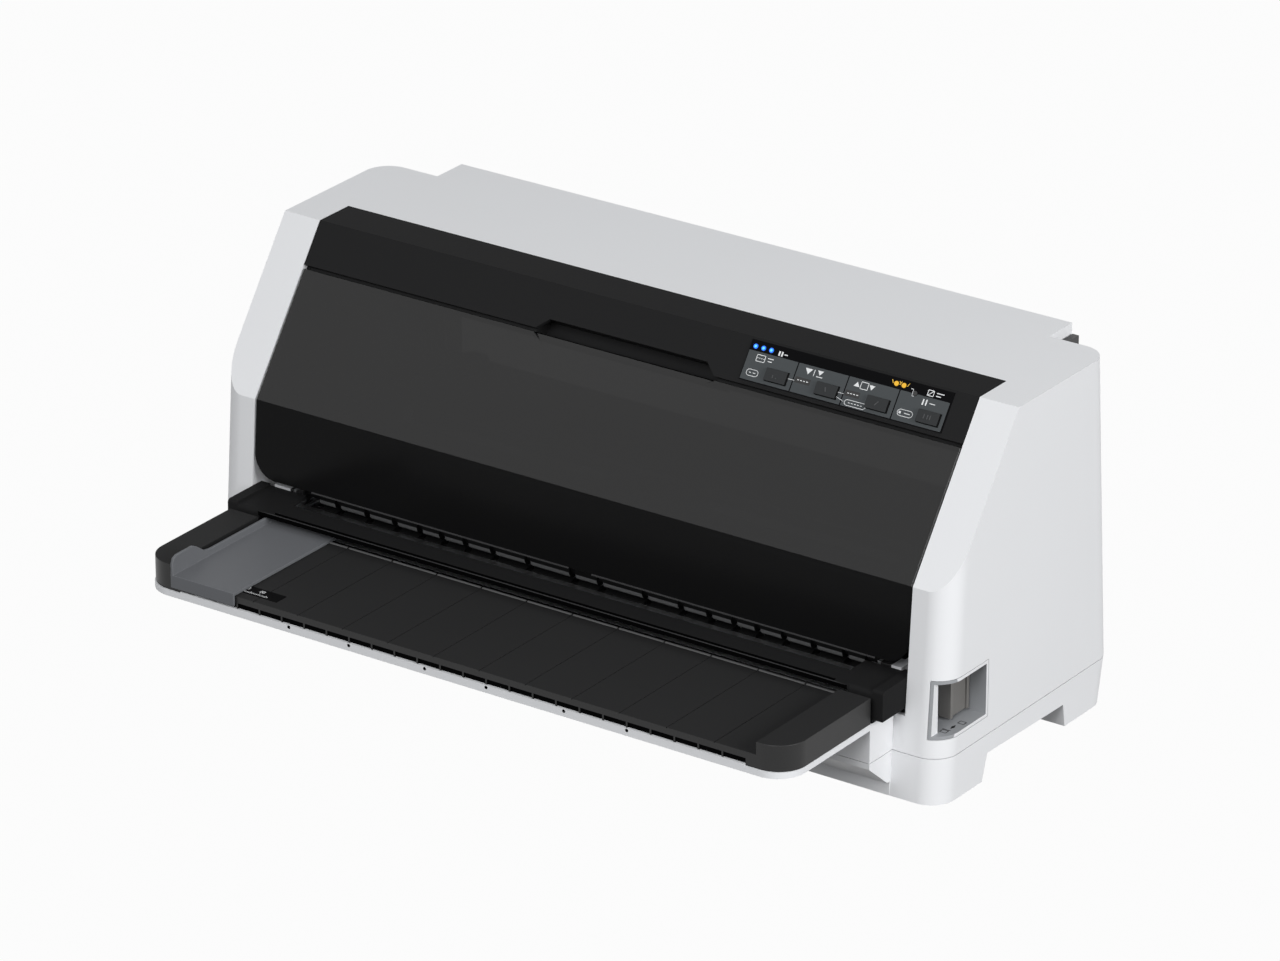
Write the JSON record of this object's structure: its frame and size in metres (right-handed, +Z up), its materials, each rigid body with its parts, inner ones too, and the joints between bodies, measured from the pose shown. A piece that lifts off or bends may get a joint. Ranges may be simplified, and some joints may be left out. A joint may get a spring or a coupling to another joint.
{
  "type": "dot matrix printer",
  "caption": "Flatbed desktop impact printer: white case, black key panel, smoked front cover, sunk paper table with sliding edge guide, and rear push tractors.",
  "frame": {"origin": "on the ground, under the middle of the whole footprint from the front of the paper table to the back of the hood", "axes": "+X to the viewer's right across the printer, +Y to the rear, +Z up"},
  "size_m": [0.48, 0.284, 0.206],
  "materials": {
    "case_white": "fine-grained white moulded plastic",
    "panel_black": "glossy black moulded plastic",
    "label_grey": "printed film, grey with a black strip",
    "key_grey": "dark grey moulded plastic",
    "lamp": "clear light pipes, blue and amber",
    "cover_smoke": "smoked see-through moulded plastic",
    "table_black": "fine-grained black moulded plastic",
    "guide_grey": "mid grey moulded plastic",
    "lever_grey": "dark grey moulded plastic",
    "rubber_black": "soft black rubber",
    "roller_rubber": "rubber segments on a steel shaft",
    "zinc_steel": "zinc plated sheet steel",
    "shaft_steel": "ground steel",
    "head_metal": "anodised die cast metal",
    "gear_plastic": "natural acetal",
    "brass": "machined brass",
    "ribbon_black": "inked nylon",
    "belt_rubber": "toothed rubber belt",
    "motor_metal": "dark painted steel can",
    "board_green": "green circuit board",
    "screw_steel": "zinc plated screws"
  },
  "bodies": {
    "case": {"lower_case": "case_white", "upper_case": "case_white", "rubber_feet": "rubber_black", "control_panel": "panel_black", "key_label": "label_grey", "indicator_lights": "lamp", "panel_board": "board_green", "hinge_bearings": "case_white", "side_trims": "table_black", "paper_table": "table_black", "table_tray": "case_white", "table_ruler": "panel_black", "front_paper_guide": "table_black", "paper_path_plate": "zinc_steel", "roller_bushes": "gear_plastic", "platen_bar": "rubber_black", "left_side_frame": "zinc_steel", "right_side_frame": "zinc_steel", "base_plate": "zinc_steel", "main_guide_shaft": "shaft_steel", "front_rail": "shaft_steel", "ribbon_cartridge": "table_black", "ribbon_band": "ribbon_black", "carriage_belt": "belt_rubber", "carriage_motor": "motor_metal", "feed_motor": "motor_metal", "lever_recess": "case_white", "rear_paper_guide": "table_black", "tractor_support_shaft": "shaft_steel", "main_board": "board_green", "power_supply": "zinc_steel", "mains_inlet": "table_black", "interface_sockets": "shaft_steel", "case_screws": "screw_steel", "frame_screws": "screw_steel"},
    "carriage": {"carriage": "key_grey", "print_head": "head_metal"},
    "front_cover": {"front_cover": "cover_smoke"},
    "font_key": {"font_key": "key_grey"},
    "feed_key": {"feed_key": "key_grey"},
    "load_key": {"load_key": "key_grey"},
    "pause_key": {"pause_key": "key_grey"},
    "edge_guide": {"edge_guide": "guide_grey"},
    "release_lever": {"release_lever": "lever_grey"},
    "drive_pulley": {"drive_pulley": "shaft_steel"},
    "idler_pulley": {"idler_pulley": "shaft_steel"},
    "front_feed_roller": {"front_feed_roller": "roller_rubber"},
    "rear_feed_roller": {"rear_feed_roller": "roller_rubber"},
    "front_pinch_roller": {"front_pinch_roller": "roller_rubber"},
    "rear_pinch_roller": {"rear_pinch_roller": "roller_rubber"},
    "feed_idler_gear": {"feed_idler_gear": "gear_plastic"},
    "motor_pinion": {"motor_pinion": "brass"},
    "tractor_idler_gear": {"tractor_idler_gear": "gear_plastic"},
    "tractor_drive_shaft": {"tractor_drive_shaft": "shaft_steel"},
    "ribbon_knob": {"ribbon_knob": "lever_grey"},
    "left_tractor": {"left_tractor": "key_grey"},
    "right_tractor": {"right_tractor": "key_grey"},
    "left_tractor_cover": {"left_tractor_cover": "lever_grey"},
    "right_tractor_cover": {"right_tractor_cover": "lever_grey"}
  },
  "joints": [
    {"name": "cover_hinge", "type": "hinge", "parent": "case", "child": "front_cover", "pos_m": [0, -0.0275, 0.08], "axis": [1, 0, 0], "range_deg": [0, 85]},
    {"name": "font_key_press", "type": "slide", "parent": "case", "child": "font_key", "axis": [0, 0.8123, -0.5832], "range_m": [0, 0.0012], "stiffness_N_per_m": 400, "springref_m": -0.0005},
    {"name": "feed_key_press", "type": "slide", "parent": "case", "child": "feed_key", "axis": [0, 0.8123, -0.5832], "range_m": [0, 0.0012], "stiffness_N_per_m": 400, "springref_m": -0.0005},
    {"name": "load_key_press", "type": "slide", "parent": "case", "child": "load_key", "axis": [0, 0.8123, -0.5832], "range_m": [0, 0.0012], "stiffness_N_per_m": 400, "springref_m": -0.0005},
    {"name": "pause_key_press", "type": "slide", "parent": "case", "child": "pause_key", "axis": [0, 0.8123, -0.5832], "range_m": [0, 0.0012], "stiffness_N_per_m": 400, "springref_m": -0.0005},
    {"name": "edge_guide_slide", "type": "slide", "parent": "case", "child": "edge_guide", "axis": [1, 0, 0], "range_m": [0, 0.025]},
    {"name": "release_lever_swing", "type": "hinge", "parent": "case", "child": "release_lever", "pos_m": [0, -0.007, 0.11], "axis": [-1, 0, 0], "range_deg": [0, 8.5]},
    {"name": "carriage_slide", "type": "slide", "parent": "case", "child": "carriage", "axis": [1, 0, 0], "range_m": [-0.14, 0.14]},
    {"name": "drive_pulley_spin", "type": "hinge", "parent": "case", "child": "drive_pulley", "pos_m": [0.176, 0.075, 0.086], "axis": [0, 0, 1], "range_deg": [-1003, 1003]},
    {"name": "idler_pulley_spin", "type": "hinge", "parent": "case", "child": "idler_pulley", "pos_m": [-0.176, 0.075, 0.086], "axis": [0, 0, 1], "range_deg": [-1003, 1003]},
    {"name": "front_feed_roller_spin", "type": "hinge", "parent": "case", "child": "front_feed_roller", "pos_m": [0, -0.0173, 0.0553], "axis": [1, 0, 0], "continuous": true},
    {"name": "rear_feed_roller_spin", "type": "hinge", "parent": "case", "child": "rear_feed_roller", "pos_m": [0, 0.051, 0.0553], "axis": [1, 0, 0], "continuous": true},
    {"name": "front_pinch_roller_spin", "type": "hinge", "parent": "case", "child": "front_pinch_roller", "pos_m": [0, -0.0173, 0.0654], "axis": [1, 0, 0], "continuous": true},
    {"name": "rear_pinch_roller_spin", "type": "hinge", "parent": "case", "child": "rear_pinch_roller", "pos_m": [0, 0.051, 0.0654], "axis": [1, 0, 0], "continuous": true},
    {"name": "feed_idler_gear_spin", "type": "hinge", "parent": "case", "child": "feed_idler_gear", "pos_m": [-0.1975, 0.01685, 0.0553], "axis": [1, 0, 0], "continuous": true},
    {"name": "motor_pinion_spin", "type": "hinge", "parent": "case", "child": "motor_pinion", "pos_m": [-0.1975, 0.03817, 0.03398], "axis": [1, 0, 0], "continuous": true},
    {"name": "tractor_idler_gear_spin", "type": "hinge", "parent": "case", "child": "tractor_idler_gear", "pos_m": [-0.1975, 0.08585, 0.05989], "axis": [1, 0, 0], "continuous": true},
    {"name": "tractor_drive_shaft_spin", "type": "hinge", "parent": "case", "child": "tractor_drive_shaft", "pos_m": [0, 0.1206, 0.06985], "axis": [1, 0, 0], "continuous": true},
    {"name": "ribbon_knob_spin", "type": "hinge", "parent": "case", "child": "ribbon_knob", "pos_m": [-0.15, 0.079, 0.11], "axis": [0, 0, 1], "continuous": true},
    {"name": "left_tractor_slide", "type": "slide", "parent": "case", "child": "left_tractor", "axis": [1, 0, 0], "range_m": [-0.02, 0.06]},
    {"name": "right_tractor_slide", "type": "slide", "parent": "case", "child": "right_tractor", "axis": [1, 0, 0], "range_m": [-0.06, 0.02]},
    {"name": "left_tractor_cover_hinge", "type": "hinge", "parent": "left_tractor", "child": "left_tractor_cover", "pos_m": [-0.136, 0.127, 0.0806], "axis": [0, -1, 0], "range_deg": [0, 100]},
    {"name": "right_tractor_cover_hinge", "type": "hinge", "parent": "right_tractor", "child": "right_tractor_cover", "pos_m": [0.136, 0.127, 0.0806], "axis": [0, 1, 0], "range_deg": [0, 100]}
  ],
  "couplings": [
    {"joint": "drive_pulley_spin", "follows": "carriage_slide", "rad_per_m": 125},
    {"joint": "idler_pulley_spin", "follows": "carriage_slide", "rad_per_m": 125},
    {"joint": "rear_feed_roller_spin", "follows": "front_feed_roller_spin", "ratio": 1},
    {"joint": "front_pinch_roller_spin", "follows": "front_feed_roller_spin", "ratio": -1},
    {"joint": "rear_pinch_roller_spin", "follows": "front_feed_roller_spin", "ratio": -1},
    {"joint": "feed_idler_gear_spin", "follows": "front_feed_roller_spin", "ratio": -0.41667},
    {"joint": "motor_pinion_spin", "follows": "front_feed_roller_spin", "ratio": 1.6667},
    {"joint": "tractor_idler_gear_spin", "follows": "front_feed_roller_spin", "ratio": -0.4},
    {"joint": "tractor_drive_shaft_spin", "follows": "front_feed_roller_spin", "ratio": 0.90909}
  ]
}
